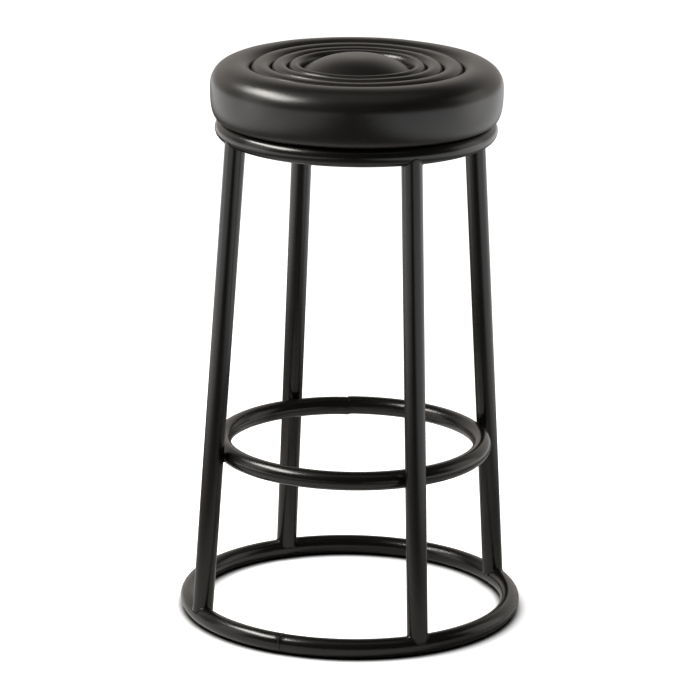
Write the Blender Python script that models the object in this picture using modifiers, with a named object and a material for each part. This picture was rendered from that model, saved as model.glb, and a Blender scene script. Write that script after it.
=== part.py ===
"""Bar stool: four splayed tube legs between a floor ring and a seat ring, a footrest ring and a round seat.

Metres, +Z up. The origin is on the floor under the middle of the seat, and the front is towards -Y.
"""

from math import cos, pi, radians, sin

import bmesh
import bpy
from mathutils import Vector

# Clear gap between pieces that touch or are welded together.
TOUCH_GAP = 0.0003

# Rings of bent tube.
TUBE_RADIUS = 0.0127
BASE_RING_RADIUS = 0.2210
FOOTREST_RING_RADIUS = 0.1780
TOP_RING_RADIUS = 0.1772
GLIDE_STANDOFF = 0.0010
BASE_RING_HEIGHT = GLIDE_STANDOFF + TUBE_RADIUS
FOOTREST_HEIGHT = 0.2338
TOP_RING_HEIGHT = 0.6746
RING_STEPS = 64
TUBE_STEPS = 16

# Legs, of a wider tube than the rings. The two radii are of their centre lines at the rings' heights.
LEG_TUBE_RADIUS = 0.0140
LEG_TUBE_WALL = 0.0015
LEG_FOOT_RADIUS = 0.2202
LEG_HEAD_RADIUS = 0.1755
LEG_END_SETBACK = 0.0045
LEG_STEPS = 20
LEG_ANGLES = {"front_left": 225, "front_right": 315, "back_right": 45, "back_left": 135}

# Floor glides, pressed into the base ring below the legs.
GLIDE_RADIUS = 0.0060
GLIDE_CHAMFER = 0.0005
GLIDE_HEAD_TOP = 0.0060
GLIDE_STEM_RADIUS = 0.0030
GLIDE_STEM_TOP = 0.0120
GLIDE_HOLE_RADIUS = 0.0034
GLIDE_HOLE_TOP = 0.0135

# Seat tabs, welded inside the top ring midway between the legs.
TAB_ANGLES = {"right": 0, "back": 90, "left": 180, "front": 270}
TAB_THICKNESS = 0.0030
TAB_WIDTH = 0.0300
TAB_INNER_RADIUS = 0.1310
TAB_CORNER = 0.0060
BOLT_CIRCLE_RADIUS = 0.1460
CLEARANCE_HOLE_RADIUS = 0.0036

# M6 screw, washer and T-nut at each tab.
BOLT_RADIUS = 0.0030
SCREW_HEAD_RADIUS = 0.0055
SCREW_HEAD_HEIGHT = 0.0035
SCREW_REACH = 0.0135
SOCKET_RADIUS = 0.0023
SOCKET_DEPTH = 0.0020
WASHER_RADIUS = 0.0080
WASHER_THICKNESS = 0.0012
NUT_BARREL_RADIUS = 0.0042
NUT_BARREL_DEPTH = 0.0100
NUT_FLANGE_RADIUS = 0.0095
NUT_FLANGE_THICKNESS = 0.0012
BOARD_HOLE_RADIUS = 0.0046

# Seat, built up from the top of the ring.
RING_TOP = TOP_RING_HEIGHT + TUBE_RADIUS
COVER_THICKNESS = 0.0012
COVER_HEM_RADIUS = 0.1600
DUST_COVER_RADIUS = 0.1590
DUST_COVER_THICKNESS = 0.0006
BOARD_RADIUS = 0.1820
BOARD_THICKNESS = 0.0120
BOARD_EDGE = 0.0020
BOARD_BOTTOM = RING_TOP + TOUCH_GAP + COVER_THICKNESS + TOUCH_GAP
BOARD_TOP = BOARD_BOTTOM + BOARD_THICKNESS
SEAT_BOTTOM_RADIUS = 0.1806
SEAT_RADIUS = 0.1968
SEAT_WAIST_HEIGHT = 0.7333
SEAT_CROWN_HEIGHT = 0.7645
SEAT_CROWN_RADIUS = 0.1610
SEAT_SIDE_FULLNESS = 2.9
FOAM_RADIUS = BOARD_RADIUS
FOAM_TOP = 0.7460
PAD_BOTTOM = FOAM_TOP + TOUCH_GAP
GROOVE_HEIGHT = 0.7530
GROOVE_RADII = (0.1427, 0.1152, 0.0924, 0.0750)
GROOVE_GAP = 0.0006
CHANNEL_NAMES = ("outer", "middle", "inner")
CHANNEL_CROWN_HEIGHT = 0.7636
DOME_CROWN_HEIGHT = 0.7745
SEAT_STEPS = 48
SMALL_STEPS = 16

# Base colour, roughness and metallic value of each finish.
FINISHES = {
    "black_paint": ((0.020, 0.020, 0.020), 0.35, 0.0),
    "zinc": ((0.62, 0.62, 0.60), 0.30, 1.0),
    "black_leatherette": ((0.030, 0.028, 0.027), 0.45, 0.0),
    "plywood": ((0.62, 0.44, 0.27), 0.70, 0.0),
    "foam": ((0.80, 0.74, 0.55), 0.95, 0.0),
    "dust_cloth": ((0.015, 0.015, 0.015), 0.95, 0.0),
    "glide_plastic": ((0.025, 0.025, 0.025), 0.50, 0.0),
}


def clear_scene():
    for item in list(bpy.data.objects):
        bpy.data.objects.remove(item)


def new_collection(name):
    collection = bpy.data.collections.new(name)
    bpy.context.scene.collection.children.link(collection)
    return collection


def make_material(name):
    color, roughness, metallic = FINISHES[name]
    material = bpy.data.materials.new(name)
    material.use_nodes = True
    shader = material.node_tree.nodes["Principled BSDF"]
    shader.inputs["Base Color"].default_value = (*color, 1.0)
    shader.inputs["Roughness"].default_value = roughness
    shader.inputs["Metallic"].default_value = metallic
    return material


def polar(radius, degrees, height):
    """The point at this radius, angle and height about the stool's axis."""
    return Vector((radius * cos(radians(degrees)), radius * sin(radians(degrees)), height))


def place(name, mesh, collection, finish=None):
    """A new object of the mesh, smooth-shaded and given its finish."""
    mesh.shade_smooth()
    mesh.set_sharp_from_angle(angle=radians(35))
    item = bpy.data.objects.new(name, mesh)
    collection.objects.link(item)
    if finish:
        mesh.materials.append(materials[finish])
    return item


def hide_cutter(item):
    item.hide_render = True
    item.display_type = "WIRE"
    return item


def cut(item, cutter, operation="DIFFERENCE"):
    boolean = item.modifiers.new(cutter.name, "BOOLEAN")
    boolean.operation = operation
    boolean.solver = "EXACT"
    boolean.object = cutter


def turned(name, outline, steps, collection, finish=None, closed=False):
    """A body of revolution about its own Z axis.

    The outline's (radius, height) points run down its outer side. It is closed for a ring, and starts and
    ends on the axis for a solid body.
    """
    mesh = bpy.data.meshes.new(name)
    shape = bmesh.new()
    points = [shape.verts.new((radius, 0.0, height)) for radius, height in outline]
    for first, second in zip(points, points[1:]):
        shape.edges.new((first, second))
    if closed:
        shape.edges.new((points[-1], points[0]))
    shape.to_mesh(mesh)
    shape.free()
    item = place(name, mesh, collection, finish)
    screw = item.modifiers.new("turn", "SCREW")
    screw.steps = steps
    screw.render_steps = steps
    screw.use_merge_vertices = True
    screw.merge_threshold = 0.0001
    screw.use_smooth_shade = True
    return item


def cylinder(name, radius, bottom, top, steps, collection, finish=None):
    """A solid cylinder on its own Z axis, from bottom to top."""
    mesh = bpy.data.meshes.new(name)
    shape = bmesh.new()
    bmesh.ops.create_cone(
        shape, cap_ends=True, segments=steps, radius1=radius, radius2=radius, depth=top - bottom
    )
    bmesh.ops.translate(shape, verts=shape.verts, vec=(0.0, 0.0, (top + bottom) / 2))
    shape.to_mesh(mesh)
    shape.free()
    return place(name, mesh, collection, finish)


def ring(name, ring_radius, tube_radius, height, collection, finish=None):
    """A tube bent into a level circle."""
    bpy.ops.mesh.primitive_torus_add(
        major_segments=RING_STEPS,
        minor_segments=TUBE_STEPS,
        major_radius=ring_radius,
        minor_radius=tube_radius,
        location=(0.0, 0.0, height),
    )
    made = bpy.context.object
    mesh = made.data
    bpy.data.objects.remove(made)
    item = place(name, mesh, collection, finish)
    item.location = (0.0, 0.0, height)
    return item


def quarter_arc(start, end, count, fullness=2.0):
    """Points of a quarter curve that leaves start level and reaches end upright.

    Fullness 2 is an ellipse, and more is squarer.
    """
    power = 2 / fullness
    points = []
    for step in range(1, count + 1):
        turn = pi / 2 * step / count
        radius = start[0] + (end[0] - start[0]) * sin(turn) ** power
        height = end[1] + (start[1] - end[1]) * max(cos(turn), 0.0) ** power
        points.append((radius, height))
    return points


def make_ring_cutter(name, ring_radius, height):
    """The ring grown by the touch gap, which copes the ends of what is welded to it."""
    return hide_cutter(ring(name, ring_radius, TUBE_RADIUS + TOUCH_GAP, height, cutters))


def make_base_ring():
    item = ring("base_ring", BASE_RING_RADIUS, TUBE_RADIUS, BASE_RING_HEIGHT, stool, "black_paint")
    for place_name, angle in LEG_ANGLES.items():
        hole_name = f"glide_hole_{place_name}"
        hole = cylinder(hole_name, GLIDE_HOLE_RADIUS, 0.0, GLIDE_HOLE_TOP, SMALL_STEPS, cutters)
        hole.location = polar(BASE_RING_RADIUS, angle, 0.0)
        cut(item, hide_cutter(hole))


def make_leg(place_name, angle):
    """A hollow tube with both ends coped to sit on the rings."""
    foot = polar(LEG_FOOT_RADIUS, angle, BASE_RING_HEIGHT)
    head = polar(LEG_HEAD_RADIUS, angle, TOP_RING_HEIGHT)
    run = head - foot
    name = f"leg_{place_name}"
    mesh = bpy.data.meshes.new(name)
    shape = bmesh.new()
    bmesh.ops.create_cone(
        shape,
        cap_ends=False,
        segments=LEG_STEPS,
        radius1=LEG_TUBE_RADIUS,
        radius2=LEG_TUBE_RADIUS,
        depth=run.length - 2 * LEG_END_SETBACK,
    )
    shape.to_mesh(mesh)
    shape.free()
    item = place(name, mesh, stool, "black_paint")
    item.location = (foot + head) / 2
    item.rotation_mode = "QUATERNION"
    item.rotation_quaternion = run.to_track_quat("Z", "Y")
    wall = item.modifiers.new("wall", "SOLIDIFY")
    wall.thickness = LEG_TUBE_WALL
    wall.offset = -1.0
    cut(item, base_ring_cutter)
    cut(item, top_ring_cutter)


def make_glide(place_name, angle):
    """A round plastic foot, its top saddled to the tube and its stem up inside it."""
    outline = [
        (0.0, GLIDE_HEAD_TOP),
        (GLIDE_RADIUS, GLIDE_HEAD_TOP),
        (GLIDE_RADIUS, GLIDE_CHAMFER),
        (GLIDE_RADIUS - GLIDE_CHAMFER, 0.0),
        (0.0, 0.0),
    ]
    item = turned(f"floor_glide_{place_name}", outline, SMALL_STEPS, stool, "glide_plastic")
    item.location = polar(BASE_RING_RADIUS, angle, 0.0)
    cut(item, base_ring_cutter)
    stem_name = f"glide_stem_{place_name}"
    stem_bottom = GLIDE_CHAMFER
    stem = cylinder(stem_name, GLIDE_STEM_RADIUS, stem_bottom, GLIDE_STEM_TOP, SMALL_STEPS, cutters)
    stem.location = item.location
    cut(item, hide_cutter(stem), "UNION")


def make_tab(place_name, angle):
    """A flat steel tab, coped to the inside of the top ring, with a hole for the seat screw."""
    name = f"seat_tab_{place_name}"
    length = TOP_RING_RADIUS - TAB_INNER_RADIUS
    mesh = bpy.data.meshes.new(name)
    shape = bmesh.new()
    bmesh.ops.create_cube(shape, size=1.0)
    bmesh.ops.scale(shape, verts=shape.verts, vec=(length, TAB_WIDTH, TAB_THICKNESS))
    inner_corners = [
        edge
        for edge in shape.edges
        if all(vert.co.x < 0 for vert in edge.verts)
        and edge.verts[0].co.y == edge.verts[1].co.y
    ]
    bmesh.ops.bevel(shape, geom=inner_corners, offset=TAB_CORNER, segments=4, affect="EDGES", profile=0.5)
    shape.to_mesh(mesh)
    shape.free()
    item = place(name, mesh, stool, "black_paint")
    top = RING_TOP - TOUCH_GAP
    item.location = polar(TAB_INNER_RADIUS + length / 2, angle, top - TAB_THICKNESS / 2)
    item.rotation_euler.z = radians(angle)
    cut(item, top_ring_cutter)
    cut(item, screw_hole_cutters[place_name])


def make_screw_hole_cutter(place_name, angle):
    """The clearance hole through the tab and the dust cover."""
    name = f"screw_hole_{place_name}"
    bottom = RING_TOP - 2 * TAB_THICKNESS
    top = BOARD_BOTTOM - TOUCH_GAP
    hole = cylinder(name, CLEARANCE_HOLE_RADIUS, bottom, top, SMALL_STEPS, cutters)
    hole.location = polar(BOLT_CIRCLE_RADIUS, angle, 0.0)
    return hide_cutter(hole)


def make_washer(place_name, angle):
    top = RING_TOP - TAB_THICKNESS - 2 * TOUCH_GAP
    bottom = top - WASHER_THICKNESS
    inner = BOLT_RADIUS + TOUCH_GAP
    outline = [(inner, top), (WASHER_RADIUS, top), (WASHER_RADIUS, bottom), (inner, bottom)]
    item = turned(f"tab_washer_{place_name}", outline, SMALL_STEPS, stool, "zinc", closed=True)
    item.location = polar(BOLT_CIRCLE_RADIUS, angle, 0.0)


def make_screw(place_name, angle):
    """A button-head screw up through the washer, the tab and the board."""
    head_top = RING_TOP - TAB_THICKNESS - WASHER_THICKNESS - 3 * TOUCH_GAP
    head_bottom = head_top - SCREW_HEAD_HEIGHT
    outline = [(0.0, RING_TOP + SCREW_REACH), (BOLT_RADIUS, RING_TOP + SCREW_REACH)]
    outline += [(BOLT_RADIUS, head_top), (SCREW_HEAD_RADIUS, head_top)]
    for turn in (30, 60):
        radius = SCREW_HEAD_RADIUS * cos(radians(turn))
        outline.append((radius, head_top - SCREW_HEAD_HEIGHT * sin(radians(turn))))
    outline += [(SOCKET_RADIUS, head_bottom), (SOCKET_RADIUS, head_bottom + SOCKET_DEPTH)]
    outline.append((0.0, head_bottom + SOCKET_DEPTH))
    item = turned(f"seat_screw_{place_name}", outline, SMALL_STEPS, stool, "zinc")
    item.location = polar(BOLT_CIRCLE_RADIUS, angle, 0.0)


def make_nut(place_name, angle):
    """A T-nut: a threaded barrel down in the board under a round flange."""
    flange_bottom = BOARD_TOP + TOUCH_GAP
    flange_top = flange_bottom + NUT_FLANGE_THICKNESS
    barrel_bottom = flange_bottom - NUT_BARREL_DEPTH
    bore = BOLT_RADIUS + TOUCH_GAP
    outline = [
        (bore, flange_top),
        (NUT_FLANGE_RADIUS, flange_top),
        (NUT_FLANGE_RADIUS, flange_bottom),
        (NUT_BARREL_RADIUS, flange_bottom),
        (NUT_BARREL_RADIUS, barrel_bottom),
        (bore, barrel_bottom),
    ]
    item = turned(f"tee_nut_{place_name}", outline, SMALL_STEPS, stool, "zinc", closed=True)
    item.location = polar(BOLT_CIRCLE_RADIUS, angle, 0.0)


def make_seat_board():
    """The round plywood board that the padding is built on."""
    outline = [(0.0, BOARD_TOP), (BOARD_RADIUS - BOARD_EDGE, BOARD_TOP)]
    outline += [(BOARD_RADIUS, BOARD_TOP - BOARD_EDGE), (BOARD_RADIUS, BOARD_BOTTOM), (0.0, BOARD_BOTTOM)]
    board = turned("seat_board", outline, SEAT_STEPS, stool, "plywood")
    for place_name, angle in TAB_ANGLES.items():
        hole_name = f"nut_hole_{place_name}"
        bottom = BOARD_BOTTOM - BOARD_EDGE
        top = BOARD_TOP + BOARD_EDGE
        hole = cylinder(hole_name, BOARD_HOLE_RADIUS, bottom, top, SMALL_STEPS, cutters)
        hole.location = polar(BOLT_CIRCLE_RADIUS, angle, 0.0)
        cut(board, hide_cutter(hole))


def make_dust_cover():
    """The black cloth under the board, punched for the screws."""
    bottom = RING_TOP
    top = bottom + DUST_COVER_THICKNESS
    outline = [(0.0, top), (DUST_COVER_RADIUS, top), (DUST_COVER_RADIUS, bottom), (0.0, bottom)]
    cloth = turned("dust_cover", outline, SEAT_STEPS, stool, "dust_cloth")
    for hole in screw_hole_cutters.values():
        cut(cloth, hole)


def make_foam_core():
    bottom = BOARD_TOP + NUT_FLANGE_THICKNESS + 2 * TOUCH_GAP
    outline = [(0.0, FOAM_TOP), (FOAM_RADIUS, FOAM_TOP), (FOAM_RADIUS, bottom), (0.0, bottom)]
    turned("seat_foam", outline, SEAT_STEPS, stool, "foam")


def make_side_roll():
    """The padded cover outside the first groove, down round the board to its hem under the edge."""
    inner_radius = GROOVE_RADII[0] + GROOVE_GAP / 2
    crown = (SEAT_CROWN_RADIUS, SEAT_CROWN_HEIGHT)
    waist = (SEAT_RADIUS, SEAT_WAIST_HEIGHT)
    bottom = (SEAT_BOTTOM_RADIUS, RING_TOP + TOUCH_GAP)
    outline = [(inner_radius, GROOVE_HEIGHT)]
    outline += [((inner_radius + SEAT_CROWN_RADIUS) / 2, (GROOVE_HEIGHT + 2 * SEAT_CROWN_HEIGHT) / 3), crown]
    outline += quarter_arc(crown, waist, 6)
    side = quarter_arc(bottom, waist, 5, SEAT_SIDE_FULLNESS)[:-1]
    outline += [*reversed(side), bottom]
    hem_top = RING_TOP + TOUCH_GAP + COVER_THICKNESS
    wrap_radius = BOARD_RADIUS + TOUCH_GAP
    outline += [(COVER_HEM_RADIUS, bottom[1]), (COVER_HEM_RADIUS, hem_top)]
    outline += [(wrap_radius, hem_top), (wrap_radius, PAD_BOTTOM), (inner_radius, PAD_BOTTOM)]
    turned("cover_side_roll", outline, SEAT_STEPS, stool, "black_leatherette", closed=True)


def make_channel(channel_name, outer_groove, inner_groove):
    """One stuffed ring of the quilted top, between two sewn grooves."""
    outer = outer_groove - GROOVE_GAP / 2
    inner = inner_groove + GROOVE_GAP / 2
    outline = []
    for step in range(7):
        turn = pi * (1 - step / 6)
        radius = (outer + inner) / 2 + (outer - inner) / 2 * cos(turn)
        outline.append((radius, GROOVE_HEIGHT + (CHANNEL_CROWN_HEIGHT - GROOVE_HEIGHT) * sin(turn)))
    outline += [(outer, PAD_BOTTOM), (inner, PAD_BOTTOM)]
    turned(f"cover_channel_{channel_name}", outline, SEAT_STEPS, stool, "black_leatherette", closed=True)


def make_dome():
    """The domed pad in the middle of the seat."""
    edge = GROOVE_RADII[-1] - GROOVE_GAP / 2
    outline = [(0.0, DOME_CROWN_HEIGHT)]
    outline += quarter_arc((0.0, DOME_CROWN_HEIGHT), (edge, GROOVE_HEIGHT), 6)
    outline += [(edge, PAD_BOTTOM), (0.0, PAD_BOTTOM)]
    turned("cover_centre_dome", outline, SEAT_STEPS, stool, "black_leatherette")


clear_scene()
stool = new_collection("bar_stool")
cutters = new_collection("cutters")
materials = {name: make_material(name) for name in FINISHES}

base_ring_cutter = make_ring_cutter("base_ring_cutter", BASE_RING_RADIUS, BASE_RING_HEIGHT)
top_ring_cutter = make_ring_cutter("top_ring_cutter", TOP_RING_RADIUS, TOP_RING_HEIGHT)
screw_hole_cutters = {name: make_screw_hole_cutter(name, angle) for name, angle in TAB_ANGLES.items()}

make_base_ring()
ring("footrest_ring", FOOTREST_RING_RADIUS, TUBE_RADIUS, FOOTREST_HEIGHT, stool, "black_paint")
ring("top_ring", TOP_RING_RADIUS, TUBE_RADIUS, TOP_RING_HEIGHT, stool, "black_paint")
for leg_place, leg_angle in LEG_ANGLES.items():
    make_leg(leg_place, leg_angle)
    make_glide(leg_place, leg_angle)
for tab_place, tab_angle in TAB_ANGLES.items():
    make_tab(tab_place, tab_angle)
    make_washer(tab_place, tab_angle)
    make_screw(tab_place, tab_angle)
    make_nut(tab_place, tab_angle)
make_dust_cover()
make_seat_board()
make_foam_core()
make_side_roll()
for channel, outer_edge, inner_edge in zip(CHANNEL_NAMES, GROOVE_RADII, GROOVE_RADII[1:]):
    make_channel(channel, outer_edge, inner_edge)
make_dome()
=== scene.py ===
"""Bar stool with a footrest ring: the finished stool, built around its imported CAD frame. Metres, +Z up."""

from math import atan2, cos, exp, hypot, pi, radians, sin, sqrt

import bmesh
import bpy
from mathutils import Matrix, Vector, noise


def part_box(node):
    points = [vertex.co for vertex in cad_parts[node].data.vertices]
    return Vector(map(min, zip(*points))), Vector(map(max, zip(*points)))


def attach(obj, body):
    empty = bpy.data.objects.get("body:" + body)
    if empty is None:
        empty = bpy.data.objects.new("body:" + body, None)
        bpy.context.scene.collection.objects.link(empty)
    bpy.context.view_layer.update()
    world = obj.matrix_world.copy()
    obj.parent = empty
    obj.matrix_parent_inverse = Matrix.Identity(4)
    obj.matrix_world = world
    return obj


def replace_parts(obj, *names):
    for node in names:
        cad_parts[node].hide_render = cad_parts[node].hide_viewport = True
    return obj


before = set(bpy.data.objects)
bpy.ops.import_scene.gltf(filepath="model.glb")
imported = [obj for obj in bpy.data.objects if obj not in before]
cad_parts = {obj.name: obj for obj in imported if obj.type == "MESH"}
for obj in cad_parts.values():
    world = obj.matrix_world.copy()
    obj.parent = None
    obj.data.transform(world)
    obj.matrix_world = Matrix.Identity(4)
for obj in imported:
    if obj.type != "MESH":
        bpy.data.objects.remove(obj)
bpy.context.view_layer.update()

# The camera stands a little to the right of the stool's front, well back with a long lens. It looks
# down on the seat from just above it, and leans over by less than a degree.
view_turn = radians(20.48)
view_down = radians(15.79)
view_roll = radians(0.79)
view_distance = 5.776
aim_height = 0.3645
aim_aside = -0.0044
camera_data = bpy.data.cameras.new("camera")
camera_data.lens = 218.3
camera_data.sensor_width = 36.0
camera_data.clip_end = 60.0
camera = bpy.data.objects.new("camera", camera_data)
bpy.context.scene.collection.objects.link(camera)
bpy.context.scene.camera = camera
facing_view = Matrix.Rotation(view_turn, 4, "Z")
camera_rise = aim_height + view_distance * sin(view_down)
stand_off = Matrix.Translation((aim_aside, -view_distance * cos(view_down), camera_rise))
tilt = Matrix.Rotation(pi / 2 - view_down, 4, "X") @ Matrix.Rotation(view_roll, 4, "Z")
camera.matrix_world = facing_view @ stand_off @ tilt

# The studio floor. A pale, matt sheet, lit a little from below, so that it stays near white as far as
# the eye sees, with a painted contact shadow that darkens it where a piece comes near. In reflections it
# ends half a metre from the stool, and past it the room's floor is dim, with a painted glowing strip along
# each side.
floor_shape = bmesh.new()
bmesh.ops.create_circle(floor_shape, cap_ends=True, segments=96, radius=14.0)
floor_mesh = bpy.data.meshes.new("floor")
floor_shape.to_mesh(floor_mesh)
floor_shape.free()
floor = bpy.data.objects.new("floor", floor_mesh)
bpy.context.scene.collection.objects.link(floor)
floor_paint = bpy.data.materials.new("pale_floor")
floor_paint.use_nodes = True
floor_tree = floor_paint.node_tree
floor_shader = floor_tree.nodes["Principled BSDF"]
floor_shader.inputs["Base Color"].default_value = (0.80, 0.80, 0.79, 1.0)
floor_shader.inputs["Roughness"].default_value = 0.7
floor_shader.inputs["Specular IOR Level"].default_value = 0.15
floor_output = floor_tree.nodes["Material Output"]


def add_smooth_step(tree, value, start, end, result=(0.0, 1.0)):
    """A value that goes smoothly from one result to the other as the input goes from start to end."""
    step = tree.nodes.new("ShaderNodeMapRange")
    step.interpolation_type = "SMOOTHSTEP"
    step.inputs["From Min"].default_value = start
    step.inputs["From Max"].default_value = end
    step.inputs["To Min"].default_value = result[0]
    step.inputs["To Max"].default_value = result[1]
    tree.links.new(value, step.inputs["Value"])
    return step.outputs["Result"]


def add_share_along(tree, vector, way):
    """How far the vector reaches along this way, as the main camera's right, back and up."""
    share = tree.nodes.new("ShaderNodeVectorMath")
    share.operation = "DOT_PRODUCT"
    share.inputs[1].default_value = facing_view @ Vector(way)
    tree.links.new(vector, share.inputs[0])
    return share.outputs["Value"]


# Painted contact shadow: where ambient occlusion finds a piece within a few centimetres, a near-black shade
# is mixed into the floor.
near_contact = floor_tree.nodes.new("ShaderNodeAmbientOcclusion")
near_contact.inputs["Distance"].default_value = 0.024
clear_of_pieces = add_smooth_step(floor_tree, near_contact.outputs["AO"], 0.30, 0.95)
floor_glow = floor_tree.nodes.new("ShaderNodeEmission")
floor_glow.inputs["Strength"].default_value = 1.0
floor_lit = floor_tree.nodes.new("ShaderNodeAddShader")
floor_tree.links.new(floor_shader.outputs["BSDF"], floor_lit.inputs[0])
floor_tree.links.new(floor_glow.outputs["Emission"], floor_lit.inputs[1])
# The painted shadow itself, a near-black floor colour.
painted_contact_shadow = floor_tree.nodes.new("ShaderNodeBsdfDiffuse")
painted_contact_shadow.inputs["Color"].default_value = (0.02, 0.02, 0.02, 1.0)
floor_seen = floor_tree.nodes.new("ShaderNodeMixShader")
floor_tree.links.new(clear_of_pieces, floor_seen.inputs["Fac"])
floor_tree.links.new(painted_contact_shadow.outputs["BSDF"], floor_seen.inputs[1])
floor_tree.links.new(floor_lit.outputs["Shader"], floor_seen.inputs[2])

# Painted reflection of side light: two bands of the floor glow on their own left and right of the stool,
# seen only in reflections.
floor_place = floor_tree.nodes.new("ShaderNodeTexCoord")
rightwards = add_share_along(floor_tree, floor_place.outputs["Object"], (1.0, 0.0, 0.0))
strip_glow = floor_tree.nodes.new("ShaderNodeMath")
strip_glow.operation = "ADD"
left_strip = add_smooth_step(floor_tree, rightwards, -1.15, -1.6, (0.0, 1.3))
right_strip = add_smooth_step(floor_tree, rightwards, 0.5, 1.3, (0.0, 1.2))
floor_tree.links.new(left_strip, strip_glow.inputs[0])
floor_tree.links.new(right_strip, strip_glow.inputs[1])
painted_strip_light = floor_tree.nodes.new("ShaderNodeEmission")
floor_tree.links.new(strip_glow.outputs["Value"], painted_strip_light.inputs["Strength"])
dim_floor = floor_tree.nodes.new("ShaderNodeBsdfDiffuse")
dim_floor.inputs["Color"].default_value = (0.19, 0.18, 0.17, 1.0)
room_floor = floor_tree.nodes.new("ShaderNodeAddShader")
floor_tree.links.new(dim_floor.outputs["BSDF"], room_floor.inputs[0])
floor_tree.links.new(painted_strip_light.outputs["Emission"], room_floor.inputs[1])
from_stool = floor_tree.nodes.new("ShaderNodeVectorMath")
from_stool.operation = "LENGTH"
floor_tree.links.new(floor_place.outputs["Object"], from_stool.inputs[0])
past_the_sheet = add_smooth_step(floor_tree, from_stool.outputs["Value"], 0.45, 0.85)
floor_reflected = floor_tree.nodes.new("ShaderNodeMixShader")
floor_tree.links.new(past_the_sheet, floor_reflected.inputs["Fac"])
floor_tree.links.new(floor_shader.outputs["BSDF"], floor_reflected.inputs[1])
floor_tree.links.new(room_floor.outputs["Shader"], floor_reflected.inputs[2])

floor_ray = floor_tree.nodes.new("ShaderNodeLightPath")
floor_choice = floor_tree.nodes.new("ShaderNodeMixShader")
floor_tree.links.new(floor_ray.outputs["Is Camera Ray"], floor_choice.inputs["Fac"])
floor_tree.links.new(floor_reflected.outputs["Shader"], floor_choice.inputs[1])
floor_tree.links.new(floor_seen.outputs["Shader"], floor_choice.inputs[2])
floor_tree.links.new(floor_choice.outputs["Shader"], floor_output.inputs["Surface"])
floor_mesh.materials.append(floor_paint)


# The studio lights. A bright key softbox high on the left, a tall dimmer one on each side, and a weak
# wide one overhead. The room is dark in front, and a white backdrop glows behind the stool.
def add_softbox(name, size, place, aim, color, watts):
    data = bpy.data.lights.new(name, "AREA")
    data.shape = "RECTANGLE"
    data.size = size[0]
    data.size_y = size[1]
    data.color = color
    data.energy = watts
    lamp = bpy.data.objects.new(name, data)
    bpy.context.scene.collection.objects.link(lamp)
    turn = (Vector(aim) - Vector(place)).to_track_quat("-Z", "Y").to_matrix().to_4x4()
    lamp.matrix_world = facing_view @ Matrix.Translation(place) @ turn
    lamp.visible_camera = False


seat_middle = (0.0, 0.0, 0.72)
stool_middle = (0.0, 0.0, 0.45)
add_softbox("key_softbox", (1.70, 0.78), (-1.81, -0.15, 2.30), seat_middle, (1.0, 0.97, 0.93), 80.0)
add_softbox("left_softbox", (1.1, 2.0), (-2.4, -0.2, 1.0), stool_middle, (1.0, 0.96, 0.91), 7.0)
add_softbox("right_softbox", (1.4, 2.0), (2.4, 0.55, 1.0), stool_middle, (1.0, 0.94, 0.87), 7.5)
add_softbox("overhead_softbox", (3.4, 2.6), (0.0, -0.5, 3.6), stool_middle, (1.0, 0.97, 0.94), 6.5)
world = bpy.data.worlds.new("studio")
bpy.context.scene.world = world
world.use_nodes = True
sky = world.node_tree
sky.nodes.clear()
direction = sky.nodes.new("ShaderNodeTexCoord")
backwards = add_share_along(sky, direction.outputs["Generated"], (0.0, 1.0, 0.0))
upwards = add_share_along(sky, direction.outputs["Generated"], (0.0, 0.0, 1.0))
backdrop_glow = sky.nodes.new("ShaderNodeMath")
backdrop_glow.operation = "MULTIPLY"
sky.links.new(add_smooth_step(sky, backwards, 0.15, 0.75), backdrop_glow.inputs[0])
sky.links.new(add_smooth_step(sky, upwards, 0.38, 0.78, (1.0, 0.0)), backdrop_glow.inputs[1])
room_light = sky.nodes.new("ShaderNodeMath")
room_light.operation = "MULTIPLY_ADD"
room_light.inputs[1].default_value = 0.58
room_light.inputs[2].default_value = 0.05
room = sky.nodes.new("ShaderNodeBackground")
room.inputs["Color"].default_value = (1.0, 0.94, 0.88, 1.0)
backdrop = sky.nodes.new("ShaderNodeBackground")
backdrop.inputs["Color"].default_value = (1.0, 1.0, 1.0, 1.0)
ray = sky.nodes.new("ShaderNodeLightPath")
choice = sky.nodes.new("ShaderNodeMixShader")
sky_output = sky.nodes.new("ShaderNodeOutputWorld")
sky.links.new(backdrop_glow.outputs["Value"], room_light.inputs[0])
sky.links.new(room_light.outputs["Value"], room.inputs["Strength"])
sky.links.new(ray.outputs["Is Camera Ray"], choice.inputs["Fac"])
sky.links.new(room.outputs["Background"], choice.inputs[1])
sky.links.new(backdrop.outputs["Background"], choice.inputs[2])
sky.links.new(choice.outputs["Shader"], sky_output.inputs["Surface"])
bpy.context.scene.view_settings.view_transform = "Standard"


# The rings. Three lengths of steel tube, each bent to a circle and butt-welded closed, under a satin
# black powder coat that has a fine orange peel and a few duller smudges from handling.
def new_finish(name):
    """A material, its node tree, its shader, and the coordinates that its patterns read."""
    finish = bpy.data.materials.new(name)
    finish.use_nodes = True
    tree = finish.node_tree
    place = tree.nodes.new("ShaderNodeTexCoord")
    return finish, tree, tree.nodes["Principled BSDF"], place.outputs["Object"]


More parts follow.
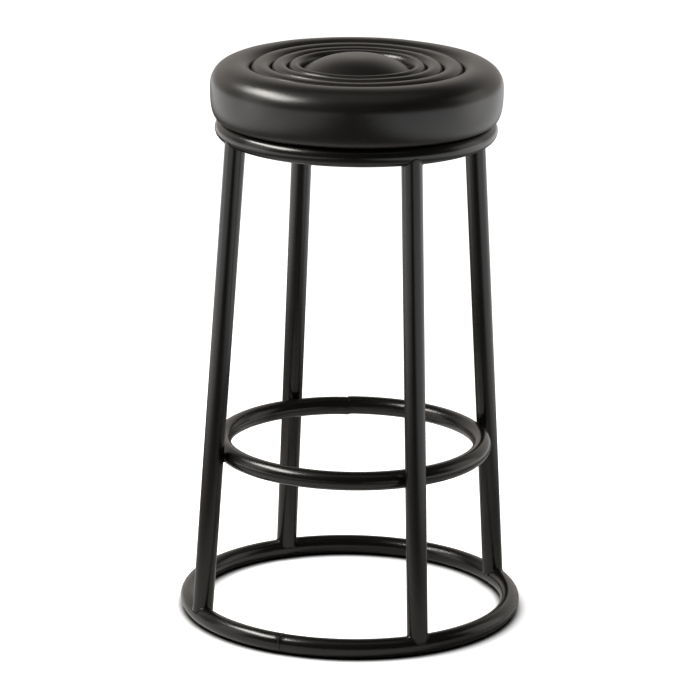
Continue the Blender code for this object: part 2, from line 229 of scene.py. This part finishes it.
def make_grain_group():
    """Fine cells broken up by a soft noise, as a height."""
    group = bpy.data.node_groups.new("fine_grain", "ShaderNodeTree")
    sockets = group.interface
    sockets.new_socket("Vector", in_out="INPUT", socket_type="NodeSocketVector")
    sockets.new_socket("Cells per metre", in_out="INPUT", socket_type="NodeSocketFloat")
    sockets.new_socket("Softness", in_out="INPUT", socket_type="NodeSocketFloat")
    sockets.new_socket("Height", in_out="OUTPUT", socket_type="NodeSocketFloat")
    start = group.nodes.new("NodeGroupInput")
    end = group.nodes.new("NodeGroupOutput")
    cells = group.nodes.new("ShaderNodeTexVoronoi")
    cells.feature = "SMOOTH_F1"
    cells.inputs["Smoothness"].default_value = 0.6
    drift = group.nodes.new("ShaderNodeTexNoise")
    drift.inputs["Detail"].default_value = 3.0
    blend = group.nodes.new("ShaderNodeMix")
    group.links.new(start.outputs["Vector"], cells.inputs["Vector"])
    group.links.new(start.outputs["Vector"], drift.inputs["Vector"])
    group.links.new(start.outputs["Cells per metre"], cells.inputs["Scale"])
    group.links.new(start.outputs["Cells per metre"], drift.inputs["Scale"])
    group.links.new(start.outputs["Softness"], blend.inputs[0])
    group.links.new(cells.outputs["Distance"], blend.inputs[2])
    group.links.new(drift.outputs["Fac"], blend.inputs[3])
    group.links.new(blend.outputs[0], end.inputs["Height"])
    return group


def make_marks_group():
    """Broad smudges with finer streaks in them, as a roughness."""
    group = bpy.data.node_groups.new("handling_marks", "ShaderNodeTree")
    sockets = group.interface
    sockets.new_socket("Vector", in_out="INPUT", socket_type="NodeSocketVector")
    sockets.new_socket("Base", in_out="INPUT", socket_type="NodeSocketFloat")
    sockets.new_socket("Spread", in_out="INPUT", socket_type="NodeSocketFloat")
    sockets.new_socket("Roughness", in_out="OUTPUT", socket_type="NodeSocketFloat")
    start = group.nodes.new("NodeGroupInput")
    end = group.nodes.new("NodeGroupOutput")
    smudge = group.nodes.new("ShaderNodeTexNoise")
    smudge.inputs["Scale"].default_value = 14.0
    smudge.inputs["Detail"].default_value = 5.0
    streak = group.nodes.new("ShaderNodeTexNoise")
    streak.inputs["Scale"].default_value = 160.0
    streak.inputs["Detail"].default_value = 2.0
    joined = group.nodes.new("ShaderNodeMix")
    joined.inputs[0].default_value = 0.35
    centred = group.nodes.new("ShaderNodeMath")
    centred.operation = "SUBTRACT"
    centred.inputs[1].default_value = 0.5
    scaled = group.nodes.new("ShaderNodeMath")
    scaled.operation = "MULTIPLY_ADD"
    group.links.new(start.outputs["Vector"], smudge.inputs["Vector"])
    group.links.new(start.outputs["Vector"], streak.inputs["Vector"])
    group.links.new(smudge.outputs["Fac"], joined.inputs[2])
    group.links.new(streak.outputs["Fac"], joined.inputs[3])
    group.links.new(joined.outputs[0], centred.inputs[0])
    group.links.new(centred.outputs["Value"], scaled.inputs[0])
    group.links.new(start.outputs["Spread"], scaled.inputs[1])
    group.links.new(start.outputs["Base"], scaled.inputs[2])
    group.links.new(scaled.outputs["Value"], end.inputs["Roughness"])
    return group


fine_grain = make_grain_group()
handling_marks = make_marks_group()


def add_marks(tree, shader, place, base, spread):
    """Roughness that varies by about the spread around the base."""
    marks = tree.nodes.new("ShaderNodeGroup")
    marks.node_tree = handling_marks
    marks.inputs["Base"].default_value = base
    marks.inputs["Spread"].default_value = spread
    tree.links.new(place, marks.inputs["Vector"])
    tree.links.new(marks.outputs["Roughness"], shader.inputs["Roughness"])


def add_grain(tree, shader, place, cells_per_metre, softness, strength, depth):
    """Fine relief, of cells where the softness is 0 and of soft noise where it is 1."""
    grain = tree.nodes.new("ShaderNodeGroup")
    grain.node_tree = fine_grain
    grain.inputs["Cells per metre"].default_value = cells_per_metre
    grain.inputs["Softness"].default_value = softness
    bump = tree.nodes.new("ShaderNodeBump")
    bump.inputs["Strength"].default_value = strength
    bump.inputs["Distance"].default_value = depth
    tree.links.new(place, grain.inputs["Vector"])
    tree.links.new(grain.outputs["Height"], bump.inputs["Height"])
    tree.links.new(bump.outputs["Normal"], shader.inputs["Normal"])


def add_color_drift(tree, shader, place, scale, dark, light):
    """A slow drift between two near colours."""
    patches = tree.nodes.new("ShaderNodeTexNoise")
    patches.inputs["Scale"].default_value = scale
    patches.inputs["Detail"].default_value = 4.0
    ramp = tree.nodes.new("ShaderNodeValToRGB")
    ramp.color_ramp.elements[0].position = 0.35
    ramp.color_ramp.elements[0].color = (*dark, 1.0)
    ramp.color_ramp.elements[1].position = 0.65
    ramp.color_ramp.elements[1].color = (*light, 1.0)
    tree.links.new(place, patches.inputs["Vector"])
    tree.links.new(patches.outputs["Fac"], ramp.inputs["Fac"])
    tree.links.new(ramp.outputs["Color"], shader.inputs["Base Color"])


powder_coat, coat_tree, coat_shader, coat_place = new_finish("black_powder_coat")
add_color_drift(coat_tree, coat_shader, coat_place, 22.0, (0.0046, 0.0043, 0.0038), (0.0070, 0.0065, 0.0057))
add_marks(coat_tree, coat_shader, coat_place, 0.235, 0.10)
add_grain(coat_tree, coat_shader, coat_place, 420.0, 0.85, 0.04, 0.0004)


def polar(radius, angle, height):
    return Vector((radius * cos(angle), radius * sin(angle), height))


def spin_round(shape, steps):
    """Spins what the shape holds once round the stool's axis and closes it."""
    bmesh.ops.spin(
        shape,
        geom=shape.verts[:] + shape.edges[:],
        cent=(0.0, 0.0, 0.0),
        axis=(0.0, 0.0, 1.0),
        angle=2 * pi,
        steps=steps,
        use_merge=True,
    )
    bmesh.ops.remove_doubles(shape, verts=shape.verts, dist=2e-6)


def bent_tube(ring_radius, tube_radius, height, around, sides=32):
    """A tube bent into a level circle about the stool's axis."""
    shape = bmesh.new()
    bmesh.ops.create_circle(shape, segments=sides, radius=tube_radius)
    bmesh.ops.rotate(shape, verts=shape.verts, matrix=Matrix.Rotation(pi / 2, 3, "X"))
    bmesh.ops.translate(shape, verts=shape.verts, vec=(ring_radius, 0.0, height))
    spin_round(shape, around)
    return shape


def finish_piece(name, shape, finish, sharp=40):
    """The shape as a piece of the stool, faces outwards and round where no edge is sharp."""
    bmesh.ops.recalc_face_normals(shape, faces=shape.faces)
    mesh = bpy.data.meshes.new(name)
    shape.to_mesh(mesh)
    shape.free()
    mesh.materials.append(finish)
    mesh.shade_smooth()
    mesh.set_sharp_from_angle(angle=radians(sharp))
    piece = bpy.data.objects.new(name, mesh)
    bpy.context.scene.collection.objects.link(piece)
    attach(piece, "root")
    return piece


def tube_sizes(node):
    """(ring radius, tube radius, height of the ring's middle)."""
    low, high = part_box(node)
    tube = (high.z - low.z) / 2
    return high.x - tube, tube, (high.z + low.z) / 2


# The tube steps in by a millimetre and a half on one side of the butt joint, and comes back to full
# size within a hand's breadth.
seam_step = 0.0015
seam_fade = radians(9)
seam_bead_radius = 0.0014
seam_bead_depth = 0.0011
seam_angles = {"base_ring": radians(-93.5), "footrest_ring": radians(112), "top_ring": radians(95)}
rings = {node: tube_sizes(node) for node in seam_angles}
for node, seam_angle in seam_angles.items():
    ring_radius, tube_radius, height = rings[node]
    tube = bent_tube(ring_radius, tube_radius, height, 256)
    for vert in tube.verts:
        past_seam = (atan2(vert.co.y, vert.co.x) - seam_angle) % (2 * pi)
        drop = seam_step * exp(-past_seam / seam_fade)
        outward = Vector((vert.co.x, vert.co.y, 0.0)).normalized()
        vert.co -= Vector((0.0, 0.0, 0.5 * drop)) + outward * drop
    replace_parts(finish_piece(f"{node}_tube", tube, powder_coat), node)
    bead = bent_tube(tube_radius - seam_bead_depth, seam_bead_radius, 0.0, 40, 8)
    bmesh.ops.rotate(bead, verts=bead.verts, matrix=Matrix.Rotation(pi / 2, 3, "X"))
    bmesh.ops.rotate(bead, verts=bead.verts, matrix=Matrix.Rotation(seam_angle, 3, "Z"))
    bmesh.ops.translate(bead, verts=bead.verts, vec=polar(ring_radius, seam_angle, height))
    finish_piece(f"{node}_seam_weld", bead, powder_coat)

# The legs. Four straight steel tubes, a size wider than the rings, that splay outwards on their way
# down. Each end is coped over its ring and welded all round, under the same powder coat.
leg_angles = {
    "front_left": radians(225),
    "front_right": radians(315),
    "back_left": radians(135),
    "back_right": radians(45),
}
leg_radius = 0.0140
leg_foot_radius = 0.2202
leg_head_radius = 0.1755
cope_depth = 0.0036
weld_radius = 0.0012


def along(start, end):
    """The placing that lays +Z on the way from start to end."""
    turn = (end - start).to_track_quat("Z", "Y").to_matrix().to_4x4()
    return Matrix.Translation(start) @ turn


def saddle_height(placing, turn, ring):
    """How far up the leg its wall stands clear of the ring, at this turn about the leg."""
    ring_radius, tube_radius, height = ring
    low = cope_depth
    high = 0.03
    for _ in range(20):
        middle = (low + high) / 2
        point = placing @ Vector((leg_radius * cos(turn), leg_radius * sin(turn), middle))
        reach = hypot(hypot(point.x, point.y) - ring_radius, point.z - height)
        if reach < tube_radius:
            low = middle
        else:
            high = middle
    return low


def saddle_weld(start, end, ring):
    """A rippled bead that follows the line where the leg's wall meets the ring."""
    placing = along(start, end)
    bead = bent_tube(leg_radius - 0.0001, weld_radius, 0.0, 112, 10)
    for vert in bead.verts:
        turn = atan2(vert.co.y, vert.co.x)
        from_wall = hypot(vert.co.x, vert.co.y) - leg_radius
        ripple = 1 + 0.06 * sin(36 * turn) + 0.10 * noise.noise(start * 90 + vert.co * 160)
        spread = 1 + from_wall * (ripple - 1) / leg_radius
        rise = vert.co.z * ripple + saddle_height(placing, turn, ring)
        vert.co = Vector((vert.co.x * spread, vert.co.y * spread, rise))
    bmesh.ops.transform(bead, matrix=placing, verts=bead.verts)
    return bead


for place, angle in leg_angles.items():
    foot = polar(leg_foot_radius, angle, rings["base_ring"][2])
    head = polar(leg_head_radius, angle, rings["top_ring"][2])
    length = (head - foot).length
    tube = bmesh.new()
    bmesh.ops.create_cone(
        tube,
        cap_ends=True,
        segments=56,
        radius1=leg_radius,
        radius2=leg_radius,
        depth=length - 2 * cope_depth,
    )
    bmesh.ops.translate(tube, verts=tube.verts, vec=(0.0, 0.0, length / 2))
    bmesh.ops.transform(tube, matrix=along(foot, head), verts=tube.verts)
    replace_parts(finish_piece(f"leg_tube_{place}", tube, powder_coat), f"leg_{place}")
    foot_weld = saddle_weld(foot, head, rings["base_ring"])
    finish_piece(f"foot_weld_{place}", foot_weld, powder_coat)
    head_weld = saddle_weld(head, foot, rings["top_ring"])
    finish_piece(f"head_weld_{place}", head_weld, powder_coat)

# The footrest welds. The footrest ring lies inside the legs and only touches them, so a fillet of
# weld fills the narrow gap on each side of the touching point and holds it.
fillet_size = (0.0034, 0.0088, 0.0068)
ring_to_leg = 0.0006
for place, angle in leg_angles.items():
    ring_radius, tube_radius, height = rings["footrest_ring"]
    fillet = bmesh.new()
    bmesh.ops.create_uvsphere(fillet, u_segments=28, v_segments=18, radius=1.0)
    bmesh.ops.scale(fillet, verts=fillet.verts, vec=fillet_size)
    for vert in fillet.verts:
        vert.co *= 1 + 0.10 * noise.noise(vert.co * 380 + Vector((7 * angle, 0.0, 0.0)))
    bmesh.ops.rotate(fillet, verts=fillet.verts, matrix=Matrix.Rotation(angle, 3, "Z"))
    touching = polar(ring_radius + tube_radius + ring_to_leg / 2, angle, height)
    bmesh.ops.translate(fillet, verts=fillet.verts, vec=touching)
    finish_piece(f"footrest_weld_{place}", fillet, powder_coat)

# The floor glides. Four round black nylon feet pressed into holes under the base ring, one below
# each leg. Only a thin disc of each shows under the tube.
nylon, nylon_tree, nylon_shader, nylon_place = new_finish("black_nylon")
add_color_drift(nylon_tree, nylon_shader, nylon_place, 60.0, (0.016, 0.016, 0.016), (0.026, 0.026, 0.026))
add_marks(nylon_tree, nylon_shader, nylon_place, 0.52, 0.18)
add_grain(nylon_tree, nylon_shader, nylon_place, 900.0, 0.7, 0.20, 0.0003)


def lathe(outline, steps):
    """(radius, height) points from axis to axis, or a closed ring of them, turned about the Z axis."""
    shape = bmesh.new()
    points = [shape.verts.new((radius, 0.0, height)) for radius, height in outline]
    for first, second in zip(points, points[1:]):
        shape.edges.new((first, second))
    if outline[0][0] > 0.0:
        shape.edges.new((points[-1], points[0]))
    spin_round(shape, steps)
    return shape


glide_height = 0.0045
glide_shoulder = 0.0008
for place in leg_angles:
    low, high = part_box(f"floor_glide_{place}")
    middle = (low + high) / 2
    glide_radius = (high.x - low.x) / 2
    glide_top = low.z + glide_height
    outline = [(0.0, glide_top), (glide_radius - glide_shoulder, glide_top)]
    outline += [(glide_radius, glide_top - glide_shoulder), (glide_radius, low.z + 0.0006)]
    outline += [(glide_radius - 0.0003, low.z + 0.0002), (glide_radius - 0.0009, low.z), (0.0, low.z)]
    glide = lathe(outline, 40)
    bmesh.ops.translate(glide, verts=glide.verts, vec=(middle.x, middle.y, 0.0))
    piece = finish_piece(f"glide_foot_{place}", glide, nylon)
    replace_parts(piece, f"floor_glide_{place}")

# The seat tabs. Four flat steel plates welded inside the top ring midway between the legs, with the
# hole for a seat screw in each. They keep their CAD shape, and take the frame's powder coat.
tab_angles = {"front": radians(270), "right": 0.0, "back": radians(90), "left": radians(180)}


def paint(node, finish):
    """Gives a CAD node this finish and keeps its shape."""
    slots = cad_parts[node].material_slots
    if not slots:
        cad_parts[node].data.materials.append(finish)
    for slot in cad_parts[node].material_slots:
        slot.material = finish


tab_weld_reach = 0.0022
tab_weld_height = 0.0019
tab_weld_inset = 0.0040
for place, angle in tab_angles.items():
    paint(f"seat_tab_{place}", powder_coat)
    low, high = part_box(f"seat_tab_{place}")
    tab_width = min(high.x - low.x, high.y - low.y)
    ring_radius, tube_radius, height = rings["top_ring"]
    side_drop = high.z - height
    seam_radius = ring_radius - sqrt(tube_radius**2 - side_drop**2)
    fillet = bmesh.new()
    bmesh.ops.create_uvsphere(fillet, u_segments=20, v_segments=14, radius=1.0)
    bmesh.ops.scale(fillet, verts=fillet.verts, vec=(tab_weld_reach, tab_width / 2, tab_weld_height))
    for vert in fillet.verts:
        vert.co *= 1 + 0.10 * noise.noise(vert.co * 300 + Vector((5 * angle, 0.0, 0.0)))
    bmesh.ops.rotate(fillet, verts=fillet.verts, matrix=Matrix.Rotation(angle, 3, "Z"))
    under_tab = polar(seam_radius - tab_weld_inset, angle, low.z - 0.0002)
    bmesh.ops.translate(fillet, verts=fillet.verts, vec=under_tab)
    finish_piece(f"tab_weld_{place}", fillet, powder_coat)

# The seat board. A disc of birch plywood, its plies showing as thin bands round the edge, with a
# hole for the T-nut over each tab. The padding and the cover are built up on it.
plywood, ply_tree, ply_shader, ply_place = new_finish("birch_plywood")
along_grain = ply_tree.nodes.new("ShaderNodeMapping")
along_grain.inputs["Scale"].default_value = (3.0, 42.0, 60.0)
ply_tree.links.new(ply_place, along_grain.inputs["Vector"])
ply_grain = along_grain.outputs["Vector"]
add_color_drift(ply_tree, ply_shader, ply_grain, 3.0, (0.43, 0.28, 0.15), (0.66, 0.47, 0.29))
add_marks(ply_tree, ply_shader, ply_place, 0.66, 0.12)
add_grain(ply_tree, ply_shader, ply_grain, 24.0, 0.9, 0.35, 0.0004)
paint("seat_board", plywood)

# The T-nuts, screws and washers. Zinc-plated steel: a screw and washer come up through each tab and
# pull against a T-nut that is pressed into the top of the board.
zinc, zinc_tree, zinc_shader, zinc_place = new_finish("zinc_plate")
add_color_drift(zinc_tree, zinc_shader, zinc_place, 240.0, (0.50, 0.50, 0.49), (0.68, 0.68, 0.67))
add_marks(zinc_tree, zinc_shader, zinc_place, 0.33, 0.20)
add_grain(zinc_tree, zinc_shader, zinc_place, 1500.0, 0.8, 0.12, 0.0002)
zinc_shader.inputs["Metallic"].default_value = 1.0
washer_bore = 0.0033
washer_edge = 0.0002
shank_radius = 0.0030
shank_point = 0.0008
head_height = 0.0035
head_rim = 0.0004
key_radius = 0.0024
key_depth = 0.0020
for place, angle in tab_angles.items():
    paint(f"tee_nut_{place}", zinc)
    low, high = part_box(f"tab_washer_{place}")
    centre = (low + high) / 2
    outer = (high.x - low.x) / 2
    outline = [(washer_bore, high.z), (outer - washer_edge, high.z), (outer, high.z - washer_edge)]
    outline += [(outer, low.z + washer_edge), (outer - washer_edge, low.z), (washer_bore, low.z)]
    washer = lathe(outline, 40)
    bmesh.ops.translate(washer, verts=washer.verts, vec=(centre.x, centre.y, 0.0))
    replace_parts(finish_piece(f"washer_{place}", washer, zinc), f"tab_washer_{place}")
    low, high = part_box(f"seat_screw_{place}")
    head_radius = (high.x - low.x) / 2
    head_top = low.z + head_height
    outline = [(0.0, high.z), (shank_radius - shank_point, high.z), (shank_radius, high.z - shank_point)]
    outline += [(shank_radius, head_top), (head_radius, head_top), (head_radius, head_top - 0.0006)]
    for degrees in range(15, 75, 10):
        turn = radians(degrees)
        drop = head_rim + (head_height - head_rim) * sin(turn)
        outline.append((head_radius * cos(turn), head_top - drop))
    outline += [(key_radius + 0.0005, low.z), (key_radius, low.z + 0.0003)]
    outline += [(key_radius - 0.0001, low.z + key_depth), (0.0, low.z + key_depth + 0.0003)]
    screw = lathe(outline, 36)
    for vert in screw.verts:
        reach = hypot(vert.co.x, vert.co.y)
        if 0.0 < reach < key_radius + 0.00005 and vert.co.z < low.z + key_depth + 0.0002:
            turn = atan2(vert.co.y, vert.co.x) % (pi / 3) - pi / 6
            flat = cos(pi / 6) / cos(turn)
            vert.co.x *= flat
            vert.co.y *= flat
    bmesh.ops.translate(screw, verts=screw.verts, vec=(centre.x, centre.y, 0.0))
    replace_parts(finish_piece(f"screw_{place}", screw, zinc), f"seat_screw_{place}")

# The foam. One disc of open-cell upholstery foam, cut to the board and glued to it. The cover hides
# it, and it keeps its CAD shape.
foam, foam_tree, foam_shader, foam_place = new_finish("upholstery_foam")
add_color_drift(foam_tree, foam_shader, foam_place, 45.0, (0.66, 0.58, 0.36), (0.80, 0.74, 0.55))
add_marks(foam_tree, foam_shader, foam_place, 0.92, 0.08)
add_grain(foam_tree, foam_shader, foam_place, 1400.0, 0.2, 0.8, 0.0008)
paint("seat_foam", foam)

# The seat cover. Black leatherette over padding, sewn down in circles: a big side roll that wraps
# down round the board, three narrow rolls and a dome. Each part swells between its own stitching.
leatherette, skin_tree, skin_shader, skin_place = new_finish("black_leatherette")
add_color_drift(skin_tree, skin_shader, skin_place, 30.0, (0.0078, 0.0071, 0.0063), (0.0112, 0.0101, 0.0089))
add_marks(skin_tree, skin_shader, skin_place, 0.30, 0.08)
add_grain(skin_tree, skin_shader, skin_place, 1100.0, 0.35, 0.20, 0.0004)

ring_top = rings["top_ring"][2] + rings["top_ring"][1]
groove_radii = (0.1427, 0.1152, 0.0924, 0.0745)
groove_gap = 0.0006
groove_height = 0.7524
pad_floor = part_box("cover_channel_outer")[0].z
pucker_count = 61
pucker_depth = 0.00014
pucker_reach = 0.0045
pleat_count = 44
pleat_depth = 0.00035
pleat_edge = 0.1705
lumpiness = 0.00030
hem_height = ring_top + 0.0003
hem_top = hem_height + 0.0011


def settle(shape, seams):
    """Uneven stuffing, puckers that run out from each line of stitching, and pleats in the hem."""
    for vert in shape.verts:
        radius = hypot(vert.co.x, vert.co.y)
        if radius < pleat_edge and vert.co.z < hem_height + 0.0004:
            gather = sin(pleat_count * atan2(vert.co.y, vert.co.x) + 3 * noise.noise(vert.co * 30))
            vert.co.z -= pleat_depth * max(gather, 0.0) ** 2
        if radius < 0.001 or vert.co.z < groove_height + 0.0004:
            continue
        turn = atan2(vert.co.y, vert.co.x)
        uneven = lumpiness * noise.noise(vert.co * 22)
        pull = 0.0
        for seam in seams:
            wander = noise.noise(Vector((3 * cos(turn), 3 * sin(turn), 40 * seam)))
            wave = sin(pucker_count * turn + 5 * wander)
            pull += pucker_depth * wave * exp(-(((radius - seam) / pucker_reach) ** 2))
        vert.co.z += uneven - abs(pull) * 0.5 + pull * 0.5


def is_side_wall(co):
    """Whether the point is on the side roll's free outer wall, between the hem and the shoulder."""
    return hypot(co.x, co.y) > 0.1830 and co.z > ring_top + 0.004


def swell(piece, cap):
    """Inflates the piece as cloth between its sewn lines, and lets no point move more than the cap."""
    mesh = piece.data
    before = [vert.co.copy() for vert in mesh.vertices]
    free_height = groove_height + 0.0006
    held = [vert.index for vert in mesh.vertices if vert.co.z < free_height and not is_side_wall(vert.co)]
    sewn = piece.vertex_groups.new(name="sewn")
    sewn.add(held, 1.0, "REPLACE")
    cloth = piece.modifiers.new("swell", "CLOTH")
    cloth.settings.vertex_group_mass = "sewn"
    cloth.settings.use_pressure = True
    cloth.settings.uniform_pressure_force = 4.0
    cloth.settings.effector_weights.gravity = 0.0
    cloth.settings.tension_stiffness = 20.0
    cloth.settings.compression_stiffness = 20.0
    cloth.settings.bending_stiffness = 0.8
    cloth.collision_settings.use_collision = False
    last_step = 12
    cloth.point_cache.frame_start = 1
    cloth.point_cache.frame_end = last_step
    for step in range(1, last_step + 1):
        bpy.context.scene.frame_set(step)
    swollen = piece.evaluated_get(bpy.context.evaluated_depsgraph_get()).to_mesh()
    after = [vert.co.copy() for vert in swollen.vertices]
    piece.modifiers.remove(cloth)
    piece.vertex_groups.remove(sewn)
    for vert, start, end in zip(mesh.vertices, before, after):
        move = end - start
        if move.length > cap:
            move *= cap / move.length
        vert.co = start + move
    bpy.context.scene.frame_set(1)


def arc(centre, reach, start, end, count, fullness=2.0):
    """Points on a quarter or half round from start to end degrees; more fullness makes it squarer."""
    points = []
    power = 2 / fullness
    for step in range(count + 1):
        turn = radians(start + (end - start) * step / count)
        across = max(abs(cos(turn)), 1e-9) ** power * (1 if cos(turn) >= 0 else -1)
        up = max(abs(sin(turn)), 1e-9) ** power * (1 if sin(turn) >= 0 else -1)
        points.append((centre[0] + reach[0] * across, centre[1] + reach[1] * up))
    return points


def upholster(name, outline, steps, seams, cap, node):
    """One padded part of the cover, turned from its outline, puckered, swollen and smoothed."""
    shape = lathe(outline, steps)
    settle(shape, seams)
    piece = finish_piece(name, shape, leatherette, 80)
    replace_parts(piece, node)
    swell(piece, cap)
    smooth = piece.modifiers.new("smooth", "SUBSURF")
    smooth.levels = 1
    smooth.render_levels = 1
    return piece


waist = (0.1966, 0.7333)
crown = (0.1605, 0.7643)
hem_bend = 0.1806
hem_inner = 0.1592
board_side = 0.1822
tuck_height = 0.7495
roll_edge = groove_radii[0] + groove_gap / 2
roll = arc((crown[0], groove_height), (crown[0] - roll_edge, crown[1] - groove_height), 180, 90, 10)
roll += arc((crown[0], waist[1]), (waist[0] - crown[0], crown[1] - waist[1]), 90, 0, 14, 2.15)[1:]
roll += arc((hem_bend, waist[1]), (waist[0] - hem_bend, waist[1] - hem_height), 0, -90, 14, 2.9)[1:]
roll += [(0.1770, hem_height), (0.1730, hem_height), (0.1690, hem_height), (0.1650, hem_height)]
roll += [(hem_inner, hem_height), (hem_inner, hem_top), (0.1700, hem_top), (board_side, hem_top)]
roll += [(board_side, 0.7200), (board_side, pad_floor), (0.1640, pad_floor)]
roll += [(roll_edge, pad_floor), (roll_edge, tuck_height)]
upholster("seat_side_roll", roll, 256, groove_radii[:1], 0.0010, "cover_side_roll")

channel_crown = 0.7634
for name, outer, inner in zip(("outer", "middle", "inner"), groove_radii, groove_radii[1:]):
    outer_edge = outer - groove_gap / 2
    inner_edge = inner + groove_gap / 2
    middle = (outer_edge + inner_edge) / 2
    half = (outer_edge - inner_edge) / 2
    outline = arc((middle, groove_height), (half, channel_crown - groove_height), 180, 0, 18, 2.1)
    outline += [(outer_edge, tuck_height), (outer_edge, pad_floor), (middle, pad_floor)]
    outline += [(inner_edge, pad_floor), (inner_edge, tuck_height)]
    upholster(f"seat_channel_{name}", outline, 240, (outer, inner), 0.0005, f"cover_channel_{name}")

dome_edge = groove_radii[-1] - groove_gap / 2
dome_crown = 0.7742
dome_fullness = 2.5
dome_rise = dome_crown - groove_height
dome_points = 22
outline = [(0.0, dome_crown)]
for step in range(1, dome_points + 1):
    across = sin(pi / 2 * step / dome_points)
    outline.append((dome_edge * across, groove_height + dome_rise * max(1 - across**dome_fullness, 0.0)))
outline += [(dome_edge, pad_floor), (dome_edge / 2, pad_floor), (0.0, pad_floor)]
upholster("seat_centre_dome", outline, 200, groove_radii[-1:], 0.0004, "cover_centre_dome")

# The stitching. Heavy black polyester thread, lock-stitched along the bottom of each of the four
# grooves, which holds the cover down to the foam.
thread, thread_tree, thread_shader, thread_place = new_finish("black_thread")
dyed = (0.010, 0.010, 0.010)
faded = (0.022, 0.021, 0.020)
add_color_drift(thread_tree, thread_shader, thread_place, 400.0, dyed, faded)
add_marks(thread_tree, thread_shader, thread_place, 0.62, 0.15)
add_grain(thread_tree, thread_shader, thread_place, 3000.0, 0.5, 0.4, 0.0002)
stitch_pitch = 0.0050
stitch_length = 0.0038
stitch_thickness = 0.0008


def set_round(shape, start, placing):
    """Moves the vertices added since start to this placing."""
    shape.verts.ensure_lookup_table()
    bmesh.ops.transform(shape, matrix=placing, verts=shape.verts[start:])


for name, radius in zip(("outer", "second", "third", "inner"), groove_radii):
    row = bmesh.new()
    count = round(2 * pi * radius / stitch_pitch)
    for step in range(count):
        angle = 2 * pi * step / count
        start = len(row.verts)
        bmesh.ops.create_icosphere(row, subdivisions=1, radius=0.5)
        size = Matrix.Diagonal((stitch_thickness, stitch_length, stitch_thickness, 1.0))
        spot = Matrix.Translation(polar(radius, angle, groove_height + 0.0006))
        set_round(row, start, spot @ Matrix.Rotation(angle, 4, "Z") @ size)
    finish_piece(f"groove_stitches_{name}", row, thread, 80)

# The dust cover. A disc of thin black non-woven cloth that closes the underside of the board inside
# the hem. It is stapled flat, with faint waves between the staples, and the seat screws pierce it.
dust_cloth, dust_tree, dust_shader, dust_place = new_finish("black_nonwoven_cloth")
add_color_drift(dust_tree, dust_shader, dust_place, 90.0, (0.011, 0.011, 0.012), (0.020, 0.020, 0.021))
add_marks(dust_tree, dust_shader, dust_place, 0.90, 0.10)
add_grain(dust_tree, dust_shader, dust_place, 1300.0, 0.75, 0.6, 0.0004)
low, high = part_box("dust_cover")
cloth_radius = high.x
cloth_thickness = 0.0004
wave_height = 0.0001
rings_of_cloth = 24
cloth_height = (low.z + high.z) / 2
steps_out = [step / rings_of_cloth for step in range(rings_of_cloth + 1)]
sheet = lathe([(cloth_radius * share, cloth_height) for share in steps_out], 144)
for vert in sheet.verts:
    vert.co.z += wave_height * noise.noise(vert.co * 35)
dust_sheet = finish_piece("dust_sheet", sheet, dust_cloth)
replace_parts(dust_sheet, "dust_cover")
body = dust_sheet.modifiers.new("thickness", "SOLIDIFY")
body.thickness = cloth_thickness
body.offset = 0.0

# The staples. Galvanised wire, shot up through the hem and through the edge of the dust cover into
# the board in two circles. The hem's circle leaves out the places where a tab lies against it.
staple_width = 0.0095
staple_wire = 0.0007
staple_count = 40
tab_reach = radians(8)
hem_row = (0.1645, hem_height - pleat_depth)
cloth_row = (0.1550, low.z)
for name, (radius, height) in {"hem": hem_row, "dust_cover": cloth_row}.items():
    row = bmesh.new()
    for step in range(staple_count):
        angle = 2 * pi * (step + 0.5) / staple_count
        from_tab = abs((angle + pi / 4) % (pi / 2) - pi / 4)
        if from_tab < tab_reach:
            continue
        start = len(row.verts)
        bmesh.ops.create_cube(row, size=1.0)
        skew = Matrix.Rotation(angle + 0.12 * sin(7 * step), 4, "Z")
        size = Matrix.Diagonal((staple_wire * 1.4, staple_width, staple_wire, 1.0))
        spot = Matrix.Translation(polar(radius, angle, height - 0.1 * staple_wire))
        set_round(row, start, spot @ skew @ size)
    bmesh.ops.bevel(
        row,
        geom=row.edges[:],
        offset=0.00018,
        segments=2,
        affect="EDGES",
        profile=0.5,
        material=-1,
    )
    finish_piece(f"staples_{name}", row, zinc)
